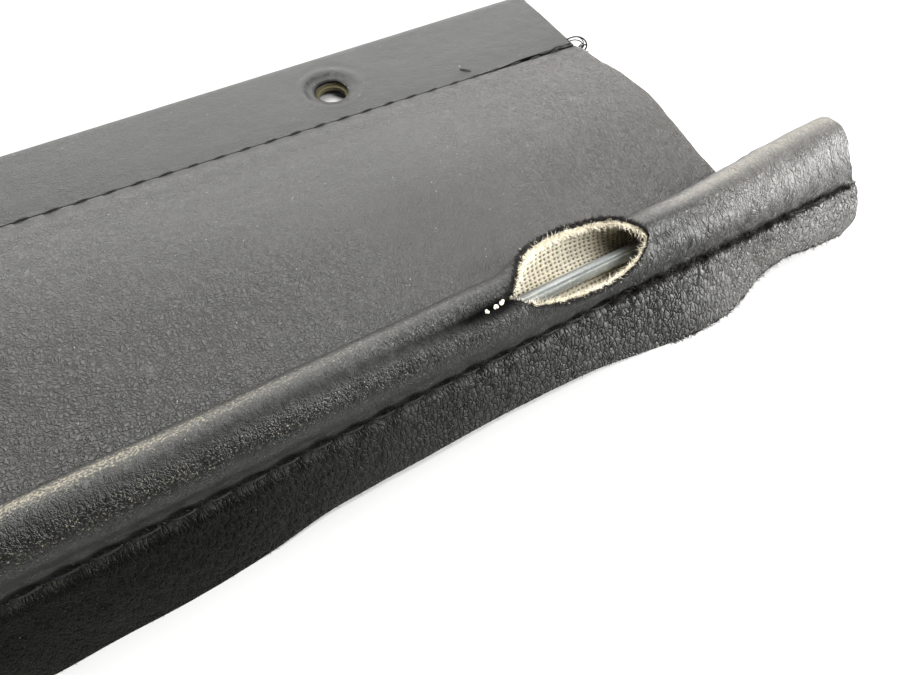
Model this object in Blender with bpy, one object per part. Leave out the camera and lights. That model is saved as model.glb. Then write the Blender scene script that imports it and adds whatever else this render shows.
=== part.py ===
"""Welted leathercloth trim panel: a sewn strip of upholstery with a stiffened hem and a wired welt.

Frame: +X runs along the strip, +Y towards the hem, +Z up.  The strip stands on the foot of its
flange in front and on the folded back edge of its hem, and the origin is the middle of that
footprint.  Lengths are in millimetres here and become metres when a mesh is made.

From back to front it is made of
  hem     - a leathercloth strip folded round a fibreboard stiffener, with two fastener holes
  panel   - one crowned sheet of leathercloth, its face bonded to a knitted backing
  welt    - a leathercloth tube round a steel core rod, torn open near one end
  flange  - the two lips of the welt strip, sewn together below the tube
  threads - a needle thread and a bobbin thread in each of the two seams

Leathercloth is a vinyl face on a knitted backing; both are separate solids, a small gap apart.
"""

from math import acos, cos, pi, radians, sin, tan

import bmesh
import bpy
import numpy as np
from mathutils import Matrix, Vector

MM = 0.001

# Leathercloth
FACE = 0.6
BACKING = 0.4
GAP = 0.3
PLY = FACE + GAP + BACKING

# Lengths along X
PANEL_LENGTH = 240.0
WELT_OVERHANG = 20.0
PANEL_END = PANEL_LENGTH / 2
WELT_END = PANEL_END + WELT_OVERHANG

# Hem: a flat box section that slopes down to its folded back edge
HEM_WIDTH = 25.2
HEM_THICKNESS = 4.0
HEM_SLOPE = radians(5.15)
HEM_BACK_Y = 49.72
HEM_BACK_Z = HEM_THICKNESS / 2 * (1 + cos(HEM_SLOPE) - sin(HEM_SLOPE))
HEM_SEAM_INSET = 1.2
HEM_UNDER_INSET = 5.0
STIFFENER_INSET = 3.0
STIFFENER_THICKNESS = 0.8
SEAM_SKEW = tan(radians(1.9))
FOLD_STEPS = 8

# Fastener holes through the hem
HOLE_DIAMETER = 8.0
HOLE_FROM_END = 58.7
HOLE_FROM_BACK = 12.8
HOLE_SIDES = 24
HOLE_CUTTER_LENGTH = 12.0

# Panel: the upper face, from the welt back to the upper seam at the +X end
PANEL_FRONT = Vector((-34.6, 11.25))
PANEL_DIP = Vector((-25.0, 10.8))
PANEL_CROWN = Vector((-5.0, 12.4))
PANEL_SHOULDER = Vector((13.0, 9.6))
PANEL_STEPS = 6

# Welt tube: a circle drawn out into a nose over the lower seam
TUBE_CENTRE = Vector((-35.2, 17.3))
TUBE_RADIUS = 5.5
NOSE_REACH = 6.7
NOSE_ANGLE = radians(225.0)
TUBE_STEPS = 32

# Core rod
ROD_DIAMETER = 2.8
ROD_CENTRE = Vector((-34.7, 14.9))
ROD_END_INSET = 4.0
ROD_SIDES = 16

# Tear in the crest of the welt tube
TEAR_START = 59.0
TEAR_END = 88.0
TEAR_FRONT_ANGLE = radians(158.0)
TEAR_BACK_ANGLE = radians(46.0)
TEAR_STEPS = 12
TEAR_TIP = 0.02  # share of the length at which each tip is blunt

# Flange: both lips run from the lower seam down to the floor, leaning forward
LOWER_SEAM = Vector((-40.75, 11.7))
FLANGE_LEAN = radians(53.1)
FLANGE_TOP_INSET = 2.0

# Sewing
STITCH_PITCH = 5.5
STITCH_DIP = 0.15
NEEDLE_DEPTH = 0.4
BOBBIN_DEPTH = 1.5
THREAD_DIAMETER = 0.6
BACK_TACK_LENGTH = 13.0
BACK_TACK_END_INSET = 3.0

# Loose end of the upper needle thread
TAIL_CLEARANCE = 0.9
TAIL_KNOTS = 22
TAIL_TURNS = 1.6
TAIL_LOOP_RADIUS = 1.5
TAIL_REACH = 4.4
TAIL_LIFT = 1.0

# Edges that turn by more than this stay sharp
SHARP_ANGLE = radians(40.0)

# Colour, metallic value and roughness of each material
MATERIALS = {
    "vinyl": ((0.055, 0.060, 0.062), 0.0, 0.45),
    "knit": ((0.62, 0.57, 0.47), 0.0, 0.95),
    "fibreboard": ((0.26, 0.17, 0.10), 0.0, 0.90),
    "steel": ((0.36, 0.37, 0.38), 1.0, 0.42),
    "thread": ((0.012, 0.012, 0.013), 0.0, 0.80),
}


def clear_scene():
    for old in list(bpy.data.objects):
        bpy.data.objects.remove(old, do_unlink=True)


def material(name):
    found = bpy.data.materials.get(name)
    if found:
        return found
    colour, metallic, roughness = MATERIALS[name]
    made = bpy.data.materials.new(name)
    made.use_nodes = True
    shader = made.node_tree.nodes["Principled BSDF"]
    shader.inputs["Base Color"].default_value = (*colour, 1.0)
    shader.inputs["Metallic"].default_value = metallic
    shader.inputs["Roughness"].default_value = roughness
    return made


# ---------------------------------------------------------------- outlines in the (y, z) plane

def smooth_curve(points, steps):
    """Points along a smooth curve that passes through each given point."""
    ends = [points[0] * 2 - points[1]] + list(points) + [points[-1] * 2 - points[-2]]
    curve = []
    for before, start, stop, after in zip(ends, ends[1:], ends[2:], ends[3:]):
        for i in range(steps):
            t = i / steps
            curve.append(0.5 * (start * 2 + (stop - before) * t
                                + (before * 2 - start * 5 + stop * 4 - after) * t ** 2
                                + (start * 3 - before - stop * 3 + after) * t ** 3))
    return curve + [points[-1].copy()]


def offset_curve(curve, distance):
    """The curve moved sideways, to the right of its direction."""
    points = np.array(curve)
    along = np.gradient(points, axis=0)
    along /= np.linalg.norm(along, axis=1)[:, None]
    sideways = np.stack([along[:, 1], -along[:, 0]], axis=1)
    return [Vector(p) for p in points + distance * sideways]


def strip_outline(curve, depth, thickness):
    """Closed outline of a sheet whose upper face lies the given depth under the curve."""
    return offset_curve(curve, depth) + offset_curve(curve, depth + thickness)[::-1]


def arc(centre, radius, start, stop, steps):
    angles = [start + (stop - start) * i / steps for i in range(steps + 1)]
    return [centre + radius * Vector((cos(a), sin(a))) for a in angles]


# ---------------------------------------------------------------- solids

def add_object(name, mesh, material_name):
    made = bpy.data.objects.new(name, mesh)
    mesh.materials.append(material(material_name))
    bpy.context.scene.collection.objects.link(made)
    return made


def finish_mesh(name, bm, material_name, smooth=True):
    bmesh.ops.recalc_face_normals(bm, faces=bm.faces)
    mesh = bpy.data.meshes.new(name)
    bm.to_mesh(mesh)
    bm.free()
    if smooth:
        mesh.shade_smooth()
        mesh.set_sharp_from_angle(angle=SHARP_ANGLE)
    return add_object(name, mesh, material_name)


def add_ring(bm, x, outline):
    return [bm.verts.new((x * MM, p.x * MM, p.y * MM)) for p in outline]


def join_rings(bm, first, second):
    for i, start in enumerate(first):
        j = (i + 1) % len(first)
        bm.faces.new((start, first[j], second[j], second[i]))


def loft(name, sections, material_name):
    """A solid bar through closed outlines, each given as (x, outline)."""
    bm = bmesh.new()
    rings = [add_ring(bm, x, outline) for x, outline in sections]
    for first, second in zip(rings, rings[1:]):
        join_rings(bm, first, second)
    bm.faces.new(rings[0])
    bm.faces.new(rings[-1])
    return finish_mesh(name, bm, material_name)


def pipe(name, outer, inner, x_start, x_stop, material_name):
    """A tube along X between an outer and an inner outline with as many points each."""
    bm = bmesh.new()
    rings = [add_ring(bm, x, outline) for x in (x_start, x_stop) for outline in (outer, inner)]
    outer_start, inner_start, outer_stop, inner_stop = rings
    join_rings(bm, outer_start, outer_stop)
    join_rings(bm, inner_stop, inner_start)
    join_rings(bm, inner_start, outer_start)
    join_rings(bm, outer_stop, inner_stop)
    return finish_mesh(name, bm, material_name)


def cut(target, cutter):
    cutter.hide_render = True
    cutter.display_type = 'WIRE'
    modifier = target.modifiers.new("cut_" + cutter.name, 'BOOLEAN')
    modifier.operation = 'DIFFERENCE'
    modifier.solver = 'EXACT'
    modifier.object = cutter


# ---------------------------------------------------------------- hem

def hem_width_at(x):
    """Width of the hem from its back edge to the upper seam, which runs at a slight angle."""
    return HEM_WIDTH - (PANEL_END - x) * SEAM_SKEW / cos(HEM_SLOPE)


def hem_point(inward, depth):
    """A (y, z) point from its distance forward of the back edge and below the hem's face."""
    forward = Vector((-cos(HEM_SLOPE), sin(HEM_SLOPE)))
    down = Vector((-sin(HEM_SLOPE), -cos(HEM_SLOPE)))
    back_edge = Vector((HEM_BACK_Y, HEM_BACK_Z))
    return back_edge + inward * forward + depth * down


def seam_point_at(x):
    return hem_point(hem_width_at(x), 0.0)


def folded_outline(x, depth, thickness):
    """Section of one layer of the folded hem strip, open towards the seam."""
    half = HEM_THICKNESS / 2
    outer = half - depth
    front = hem_width_at(x) - HEM_SEAM_INSET
    under = hem_width_at(x) - HEM_UNDER_INSET

    def layer(radius):
        fold = arc(Vector((half, half)), radius, -pi / 2, -3 * pi / 2, FOLD_STEPS)
        points = [Vector((front, half - radius))] + fold + [Vector((under, half + radius))]
        return [hem_point(p.x, p.y) for p in points]

    return layer(outer) + layer(outer - thickness)[::-1]


def make_hem():
    ends = (-PANEL_END, PANEL_END)
    face = loft("hem_strip_face", [(x, folded_outline(x, 0.0, FACE)) for x in ends], "vinyl")
    backing = loft("hem_strip_backing",
                   [(x, folded_outline(x, FACE + GAP, BACKING)) for x in ends], "knit")

    top = (HEM_THICKNESS - STIFFENER_THICKNESS) / 2
    bottom = top + STIFFENER_THICKNESS

    def board(x):
        front = hem_width_at(x) - HEM_UNDER_INSET
        corners = ((STIFFENER_INSET, top), (front, top), (front, bottom), (STIFFENER_INSET, bottom))
        return [hem_point(inward, depth) for inward, depth in corners]

    stiffener = loft("hem_stiffener", [(x, board(x)) for x in ends], "fibreboard")

    for side, x in (("right", PANEL_END - HOLE_FROM_END), ("left", HOLE_FROM_END - PANEL_END)):
        place = hem_point(HOLE_FROM_BACK, HEM_THICKNESS / 2)
        bm = bmesh.new()
        bmesh.ops.create_cone(bm, cap_ends=True, segments=HOLE_SIDES, radius1=HOLE_DIAMETER / 2 * MM,
                              radius2=HOLE_DIAMETER / 2 * MM, depth=HOLE_CUTTER_LENGTH * MM)
        bm.transform(Matrix.Translation((x * MM, place.x * MM, place.y * MM))
                     @ Matrix.Rotation(-HEM_SLOPE, 4, 'X'))
        cutter = finish_mesh("hole_cutter_" + side, bm, "steel")
        for piece in (face, backing, stiffener):
            cut(piece, cutter)


# ---------------------------------------------------------------- panel

def panel_curve(x):
    """The panel's upper face as (y, z) points from the welt to the upper seam."""
    seam = seam_point_at(x)
    right = seam_point_at(PANEL_END)
    fixed = (PANEL_FRONT, PANEL_DIP, PANEL_CROWN, PANEL_SHOULDER)
    edge = right + Vector((-HEM_SEAM_INSET, 0.0))
    points = []
    for p in (*fixed, edge):
        share = (p.x - PANEL_FRONT.x) / (right.x - PANEL_FRONT.x)
        points.append(p + (seam - right) * share)
    return smooth_curve(points, PANEL_STEPS)


def make_panel():
    ends = (-PANEL_END, PANEL_END)
    loft("main_panel_face", [(x, strip_outline(panel_curve(x), 0.0, FACE)) for x in ends], "vinyl")
    loft("main_panel_backing",
         [(x, strip_outline(panel_curve(x), FACE + GAP, BACKING)) for x in ends], "knit")


# ---------------------------------------------------------------- welt

def teardrop(radius):
    """A circle with a nose: beyond the two tangent points the outline runs straight."""
    half_angle = acos(TUBE_RADIUS / NOSE_REACH)
    outline = []
    for i in range(TUBE_STEPS):
        turn = 2 * pi * i / TUBE_STEPS
        from_nose = min(turn, 2 * pi - turn)
        reach = radius if from_nose > half_angle else radius / cos(half_angle - from_nose)
        angle = NOSE_ANGLE + turn
        outline.append(TUBE_CENTRE + reach * Vector((cos(angle), sin(angle))))
    return outline


def tear_cutter():
    """A leaf-shaped wedge: its sides run from the tube's centre line through the tear's lips."""
    bm = bmesh.new()
    reach = 2 * TUBE_RADIUS
    middle = (TEAR_FRONT_ANGLE + TEAR_BACK_ANGLE) / 2
    hearts, fronts, backs = [], [], []
    for i in range(TEAR_STEPS + 1):
        along = i / TEAR_STEPS
        x = TEAR_START + (TEAR_END - TEAR_START) * along
        spread = sin(pi * max(TEAR_TIP, min(1 - TEAR_TIP, along)))
        for angles, angle in ((fronts, middle + (TEAR_FRONT_ANGLE - middle) * spread),
                              (backs, middle + (TEAR_BACK_ANGLE - middle) * spread)):
            tip = TUBE_CENTRE + reach * Vector((cos(angle), sin(angle)))
            angles.append(bm.verts.new((x * MM, tip.x * MM, tip.y * MM)))
        hearts.append(bm.verts.new((x * MM, TUBE_CENTRE.x * MM, TUBE_CENTRE.y * MM)))
    for i in range(TEAR_STEPS):
        for a, b in ((hearts, fronts), (fronts, backs), (backs, hearts)):
            bm.faces.new((a[i], b[i], b[i + 1], a[i + 1]))
    for i in (0, TEAR_STEPS):
        bm.faces.new((hearts[i], fronts[i], backs[i]))
    return finish_mesh("tear_cutter", bm, "steel", smooth=False)


def make_welt():
    cutter = tear_cutter()
    inner = TUBE_RADIUS - FACE
    for name, outside, thickness, kind in (("welt_tube_face", TUBE_RADIUS, FACE, "vinyl"),
                                           ("welt_tube_backing", inner - GAP, BACKING, "knit")):
        tube = pipe(name, teardrop(outside), teardrop(outside - thickness),
                    -WELT_END, WELT_END, kind)
        cut(tube, cutter)


def make_core_rod():
    outline = arc(ROD_CENTRE, ROD_DIAMETER / 2, 0.0, 2 * pi, ROD_SIDES)[:-1]
    end = WELT_END - ROD_END_INSET
    loft("core_rod", [(x, outline) for x in (-end, end)], "steel")


# ---------------------------------------------------------------- flange

def flange_point(along, depth):
    """A (y, z) point from its distance below the lower seam and behind the flange's face."""
    down = Vector((-cos(FLANGE_LEAN), -sin(FLANGE_LEAN)))
    behind = Vector((sin(FLANGE_LEAN), -cos(FLANGE_LEAN)))
    return LOWER_SEAM + along * down + depth * behind


def flange_foot(depth):
    """The (y, z) point where that depth of the flange meets the floor."""
    return flange_point((LOWER_SEAM.y - depth * cos(FLANGE_LEAN)) / sin(FLANGE_LEAN), depth)


def make_flange():
    layers = (("front_lip_face", 0.0, FACE, "vinyl"),
              ("front_lip_backing", FACE + GAP, BACKING, "knit"),
              ("back_lip_backing", PLY + GAP, BACKING, "knit"),
              ("back_lip_face", PLY + 2 * GAP + BACKING, FACE, "vinyl"))
    for name, depth, thickness, kind in layers:
        back = depth + thickness
        outline = [flange_point(FLANGE_TOP_INSET, depth), flange_foot(depth),
                   flange_foot(back), flange_point(FLANGE_TOP_INSET, back)]
        loft(name, [(x, outline) for x in (-WELT_END, WELT_END)], kind)


# ---------------------------------------------------------------- sewing

def strand(name, points, sides=4):
    """One length of thread through (x, y, z) points."""
    thread = bpy.data.curves.new(name, 'CURVE')
    thread.dimensions = '3D'
    thread.bevel_depth = THREAD_DIAMETER / 2 * MM
    thread.bevel_resolution = (sides - 4) // 2
    thread.use_fill_caps = True
    spline = thread.splines.new('POLY')
    spline.points.add(len(points) - 1)
    for knot, place in zip(spline.points, points):
        knot.co = (*(Vector(place) * MM), 1.0)
    add_object(name, thread, "thread")


def stitched_line(start, stop, dip):
    """A row of stitches: the thread rises over each stitch and dips to each needle hole."""
    run = stop - start
    count = int(run.length // STITCH_PITCH)
    first = (1 - count * STITCH_PITCH / run.length) / 2
    points = []
    for i in range(2 * count + 1):
        place = start + run * (first + i * STITCH_PITCH / 2 / run.length)
        points.append(place if i % 2 else place + dip)
    return points


def row(x, point):
    return Vector((x, point.x, point.y))


def make_upper_seam():
    """Needle and bobbin threads lie one above the other in the groove between panel and hem."""
    down = Vector((0.0, 0.0, -STITCH_DIP))
    for name, depth, dip in (("upper_needle_thread", NEEDLE_DEPTH, down),
                             ("upper_bobbin_thread", BOBBIN_DEPTH, -down)):
        start, stop = (row(x, hem_point(hem_width_at(x), depth)) for x in (-PANEL_END, PANEL_END))
        strand(name, stitched_line(start, stop, dip))


def make_lower_seam():
    """The needle thread lies on the flange's face and the bobbin thread on its back."""
    stack = 2 * PLY + GAP
    clear = GAP + THREAD_DIAMETER / 2
    drop = FLANGE_TOP_INSET + THREAD_DIAMETER
    sewn_end = WELT_END - BACK_TACK_END_INSET - BACK_TACK_LENGTH - GAP
    for name, depth, rise in (("lower_needle_thread", -clear, -STITCH_DIP),
                              ("lower_bobbin_thread", stack + clear, STITCH_DIP)):
        high = flange_point(drop, depth + rise)
        low = flange_point(drop, depth)
        dip = row(0.0, low - high)
        strand(name, stitched_line(row(-sewn_end, high), row(sewn_end, high), dip))

    surface = flange_point(drop, -clear)
    for side, sign in (("left", -1), ("right", 1)):
        outer = sign * (WELT_END - BACK_TACK_END_INSET)
        inner = outer - sign * BACK_TACK_LENGTH
        strand("back_tack_" + side, [row(inner, surface), row(outer, surface)], sides=6)


def make_thread_tail():
    """The sewing thread's loose end, curled up past the right end of the upper seam."""
    start = row(PANEL_END + TAIL_CLEARANCE, hem_point(hem_width_at(PANEL_END), NEEDLE_DEPTH))
    points = []
    for i in range(TAIL_KNOTS):
        share = i / (TAIL_KNOTS - 1)
        angle = 2 * pi * TAIL_TURNS * share - pi / 2
        loop = Vector((0.3 * cos(angle), sin(angle) + 1.0, 0.7 * cos(angle))) * TAIL_LOOP_RADIUS
        points.append(start + loop + share * Vector((TAIL_REACH, 0.0, TAIL_LIFT)))
    strand("upper_thread_tail", points)


clear_scene()
make_hem()
make_panel()
make_welt()
make_core_rod()
make_flange()
make_upper_seam()
make_lower_seam()
make_thread_tail()
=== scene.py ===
"""Looks of the welted leathercloth trim panel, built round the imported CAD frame.

Axes are the frame's: +X along the strip, +Y towards the hem, +Z up.  Shapes are worked out in
millimetres and become metres when a mesh is made.  Each leathercloth sheet is a vinyl face and a
knitted backing on one grid of flat coordinates: x along the strip and s (q on the hem) across it.
"""

from math import acos, cos, pi, radians, sin, tan
from types import SimpleNamespace

import bpy
import numpy as np
from mathutils import Matrix, Vector


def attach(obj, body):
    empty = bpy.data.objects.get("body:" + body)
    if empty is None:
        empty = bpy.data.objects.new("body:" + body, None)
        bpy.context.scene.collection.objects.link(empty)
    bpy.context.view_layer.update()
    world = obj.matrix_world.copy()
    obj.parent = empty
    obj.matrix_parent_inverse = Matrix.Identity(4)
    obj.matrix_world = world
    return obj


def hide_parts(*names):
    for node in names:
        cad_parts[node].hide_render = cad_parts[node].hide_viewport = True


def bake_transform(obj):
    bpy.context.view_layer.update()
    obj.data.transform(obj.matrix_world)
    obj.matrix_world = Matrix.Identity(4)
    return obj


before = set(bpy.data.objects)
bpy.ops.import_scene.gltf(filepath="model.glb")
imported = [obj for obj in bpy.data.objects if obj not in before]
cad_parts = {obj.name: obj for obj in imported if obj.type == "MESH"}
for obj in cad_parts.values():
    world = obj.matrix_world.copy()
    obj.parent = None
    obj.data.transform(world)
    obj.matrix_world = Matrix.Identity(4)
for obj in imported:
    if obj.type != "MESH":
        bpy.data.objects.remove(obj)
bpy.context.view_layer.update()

MM = 0.001

# Leathercloth: its vinyl, all of it, and the gap that keeps its two layers apart
VINYL = 0.55
PLY = 1.2
FACE_TO_BACKING = 0.03

# Sizes shared with the CAD
PANEL_END = 120.0
WELT_END = 140.0
HEM_WIDTH = 25.2
HEM_THICKNESS = 4.0
HEM_SLOPE = radians(5.15)
HEM_BACK = (49.72, HEM_THICKNESS / 2 * (1 + cos(HEM_SLOPE) - sin(HEM_SLOPE)))
SEAM_SKEW = tan(radians(1.9)) / cos(HEM_SLOPE)
HOLE_X = 61.3
HOLE_FROM_BACK = 12.8
TUBE_CENTRE = np.array((-35.2, 17.3))
TUBE_RADIUS = 5.5
NOSE_REACH = 6.7
NOSE_ANGLE = 225.0
ROD_CENTRE = np.array((-34.7, 14.9))
ROD_RADIUS = 1.4
ROD_END = 136.0
LOWER_SEAM = np.array((-40.75, 11.7))
FLANGE_LEAN = radians(53.1)
STACK = 2.9
STITCH_PITCH = 5.5

# Tear in the welt: (x, angle about the tube's centre in degrees) along its two lips
TEAR_START = 59.2
TEAR_END = 87.9
TEAR_FRONT = ((59.2, 101), (61.6, 127), (67, 147), (73.2, 157), (79.6, 158), (84.1, 141), (87.9, 107))
TEAR_BACK = ((59.2, 101), (61.2, 78), (63.6, 56), (67.2, 38), (71.6, 29), (76.2, 27), (81.3, 30),
             (84.6, 44), (86.6, 82), (87.9, 107))
LIP_FLARE = 2.9

# How far the strip's right end runs past the tube's length, by the length across the strip
END_CUT = ((-14.6, 2.2), (-12.5, 4.4), (-7, 5.2), (0, 4.4), (3, 2.2), (6, -0.4), (9, -2.6), (14, -3.3),
           (18, -3.5), (24, -2.6), (46, -2.6))

# Foot of the front lip: (x, y, z) where its raw edge lies
FOOT = ((-140, -49.7, 0.1), (-24, -49.7, 0.1), (6, -49.2, 0.1), (21, -47.6, 0.9), (37, -47.3, 1.2),
        (54, -47.2, 1.2), (76, -47.7, 0.9), (88, -49.1, 0.2), (100, -50.3, 0.1), (110, -49.6, 0.4),
        (118, -47.0, 2.4), (124, -46.2, 3.4), (132, -46.9, 3.0), (146, -47.4, 2.6))


# ---------------------------------------------------------------- arithmetic

def noise(x, y, seed):
    """Smooth noise, about -1 to 1, with one feature to each unit of x and y."""
    angles = np.random.default_rng(seed).uniform(0, 2 * pi, (64, 64))
    x, y = np.broadcast_arrays(np.asarray(x, float), np.asarray(y, float))
    column, line = np.floor(x).astype(int), np.floor(y).astype(int)
    across, up = x - column, y - line

    def corner(i, j):
        angle = angles[(column + i) % 64, (line + j) % 64]
        return np.cos(angle) * (across - i) + np.sin(angle) * (up - j)

    ease_x, ease_y = (t ** 3 * (t * (t * 6 - 15) + 10) for t in (across, up))
    low = corner(0, 0) + (corner(1, 0) - corner(0, 0)) * ease_x
    high = corner(0, 1) + (corner(1, 1) - corner(0, 1)) * ease_x
    return 1.5 * (low + (high - low) * ease_y)


def step(start, stop, value):
    """0 before start, 1 after stop, smooth between."""
    t = np.clip((value - start) / (stop - start), 0, 1)
    return t * t * (3 - 2 * t)


def bell(value, centre, width):
    """1 at the centre, 0.37 at the width to either side of it, and 0 far away."""
    return np.exp(-((value - centre) / width) ** 2)


def through(knots, x, column=1):
    """A smooth curve through knots, read at x."""
    knots = np.array(knots, float)
    places, values = knots[:, 0], knots[:, column]
    slopes = np.gradient(values, places)
    i = np.clip(np.searchsorted(places, x) - 1, 0, len(places) - 2)
    width = places[i + 1] - places[i]
    t = np.clip((x - places[i]) / width, 0, 1)
    return (values[i] * (2 * t ** 3 - 3 * t ** 2 + 1) + values[i + 1] * (3 * t ** 2 - 2 * t ** 3)
            + width * (slopes[i] * (t ** 3 - 2 * t ** 2 + t) + slopes[i + 1] * (t ** 3 - t ** 2)))


def rounded(corners, spacing=0.1, softness=0.5):
    """Evenly spaced points along a polyline, with its corners rounded."""
    corners = np.array(corners, float)
    lengths = np.linalg.norm(np.diff(corners, axis=0), axis=1)
    reach = np.concatenate(([0], np.cumsum(lengths)))
    places = np.linspace(0, reach[-1], int(reach[-1] / spacing) + 1)
    line = np.stack([np.interp(places, reach, corners[:, k]) for k in (0, 1)], axis=1)
    spread = int(3 * softness / spacing)
    weights = bell(np.arange(-spread, spread + 1) * spacing, 0, softness)
    weights /= weights.sum()
    padded = np.concatenate((2 * line[0] - line[spread:0:-1], line,
                             2 * line[-1] - line[-2:-spread - 2:-1]))
    return np.stack([np.convolve(padded[:, k], weights, "valid") for k in (0, 1)], axis=1)


class Outline:
    """A curve in the (y, z) plane read by its length."""

    def __init__(self, corners, softness=0.5):
        self.line = rounded(corners, softness=softness)
        steps = np.linalg.norm(np.diff(self.line, axis=0), axis=1)
        self.reach = np.concatenate(([0], np.cumsum(steps)))
        self.length = self.reach[-1]

    def at(self, s):
        return np.stack([np.interp(s, self.reach, self.line[:, k]) for k in (0, 1)], axis=-1)

    def nearest(self, place):
        return self.reach[np.argmin(np.linalg.norm(self.line - place, axis=1))]


def on_tube(angle, radius=TUBE_RADIUS):
    """(y, z) on the welt's tube at an angle in degrees, 90 being its top."""
    turn = np.radians(angle)
    return TUBE_CENTRE + radius * np.stack([np.cos(turn), np.sin(turn)], axis=-1)


def flange_point(along, depth):
    """(y, z) at a length down the flange from the lower seam and a depth behind its face."""
    down = np.array((-cos(FLANGE_LEAN), -sin(FLANGE_LEAN)))
    behind = np.array((sin(FLANGE_LEAN), -cos(FLANGE_LEAN)))
    return LOWER_SEAM + along * down + depth * behind


def hem_width_at(x):
    """The hem's width: its seam runs at a slant to its back fold."""
    return HEM_WIDTH - (PANEL_END - x) * SEAM_SKEW


def hem_point(inward, depth):
    """(y, z) at a length from the hem's back fold and a depth below its top."""
    y = HEM_BACK[0] - inward * cos(HEM_SLOPE) - depth * sin(HEM_SLOPE)
    z = HEM_BACK[1] + inward * sin(HEM_SLOPE) - depth * cos(HEM_SLOPE)
    return np.stack([y, z], axis=-1)


# ---------------------------------------------------------------- meshes

def make_mesh(name, points, faces, material, sharp, flat=None, masks=None):
    """A smooth mesh from points in millimetres; edges past the angle sharp stay crisp."""
    mesh = bpy.data.meshes.new(name)
    mesh.from_pydata((points * MM).tolist(), [], faces)
    if flat is not None:
        layer = mesh.uv_layers.new(name="flat")
        corners = np.zeros(len(mesh.loops), int)
        mesh.loops.foreach_get("vertex_index", corners)
        layer.data.foreach_set("uv", flat[corners].astype(np.float32).ravel())
    for key, values in (masks or {}).items():
        attribute = mesh.attributes.new(key, 'FLOAT', 'POINT')
        attribute.data.foreach_set("value", values.astype(np.float32))
    mesh.shade_smooth()
    mesh.set_sharp_from_angle(angle=radians(sharp))
    mesh.materials.append(material)
    made = bpy.data.objects.new(name, mesh)
    bpy.context.scene.collection.objects.link(made)
    return made


def vertex_normals(points, quads):
    """Unit normals at the points, from the quads round each."""
    a, b, c, d = (points[quads[:, k]] for k in range(4))
    facing = np.cross(c - a, d - b)
    normals = np.zeros_like(points)
    for k in range(4):
        np.add.at(normals, quads[:, k], facing)
    return normals / np.maximum(np.linalg.norm(normals, axis=1), 1e-9)[:, None]


def open_edges(quads):
    """The edges that only one quad uses, in that quad's direction."""
    edges = np.concatenate([quads[:, [k, (k + 1) % 4]] for k in range(4)])
    _, first, uses = np.unique(np.sort(edges, axis=1), axis=0, return_index=True,
                               return_counts=True)
    return edges[first[uses == 1]]


def shell(name, points, normals, quads, top, bottom, material, flat, masks):
    """A closed sheet between two depths below a surface, nowhere below the ground."""
    count = len(points)
    both = np.concatenate((points - normals * top, points - normals * bottom))
    both[:, 2] = np.maximum(both[:, 2], 0.0)
    rim = open_edges(quads)
    sides = np.stack([rim[:, 1], rim[:, 0], rim[:, 0] + count, rim[:, 1] + count], axis=1)
    faces = np.concatenate((quads, quads[:, ::-1] + count, sides))
    return make_mesh(name, both, faces.tolist(), material, 50, np.concatenate((flat, flat)),
                     {key: np.concatenate((v, v)) for key, v in masks.items()})


def grid_quads(rows, columns):
    """The quads of a grid whose points are listed row by row."""
    first = np.arange(rows - 1)[:, None] * columns + np.arange(columns - 1)[None, :]
    first = first.ravel()
    return np.stack([first, first + columns, first + columns + 1, first + 1], axis=1)


def grid(rows, columns):
    """Both coordinates of a grid's points, row by row, and its quads."""
    return (np.repeat(rows, len(columns)), np.tile(columns, len(rows)),
            grid_quads(len(rows), len(columns)))


def ring_faces(rings, sides, start=0):
    """Quads between rings of points that follow one another, with both ends closed."""
    faces = []
    for i in range(rings - 1):
        for k in range(sides):
            a, b = start + i * sides + k, start + i * sides + (k + 1) % sides
            faces.append((a, b, b + sides, a + sides))
    last = start + (rings - 1) * sides
    faces.append(tuple(range(start + sides - 1, start - 1, -1)))
    faces.append(tuple(range(last, last + sides)))
    return faces


def sweep(name, paths, radii, material, sides=6):
    """Round strands along paths, with their ends closed."""
    points, faces, start = [], [], 0
    turns = np.arange(sides) * 2 * pi / sides
    guide = np.array((0.31, 0.52, 0.79))
    for path, radius in zip(paths, radii):
        along = np.gradient(path, axis=0)
        along /= np.maximum(np.linalg.norm(along, axis=1), 1e-9)[:, None]
        first = np.cross(along, guide)
        first /= np.maximum(np.linalg.norm(first, axis=1), 1e-9)[:, None]
        second = np.cross(along, first)
        radius = np.broadcast_to(radius, len(path))
        ring = (np.cos(turns)[None, :, None] * first[:, None]
                + np.sin(turns)[None, :, None] * second[:, None])
        points.append((path[:, None] + ring * radius[:, None, None]).reshape(-1, 3))
        faces += ring_faces(len(path), sides, start)
        start += len(path) * sides
    return make_mesh(name, np.concatenate(points), faces, material, 60)


# ---------------------------------------------------------------- materials

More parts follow.
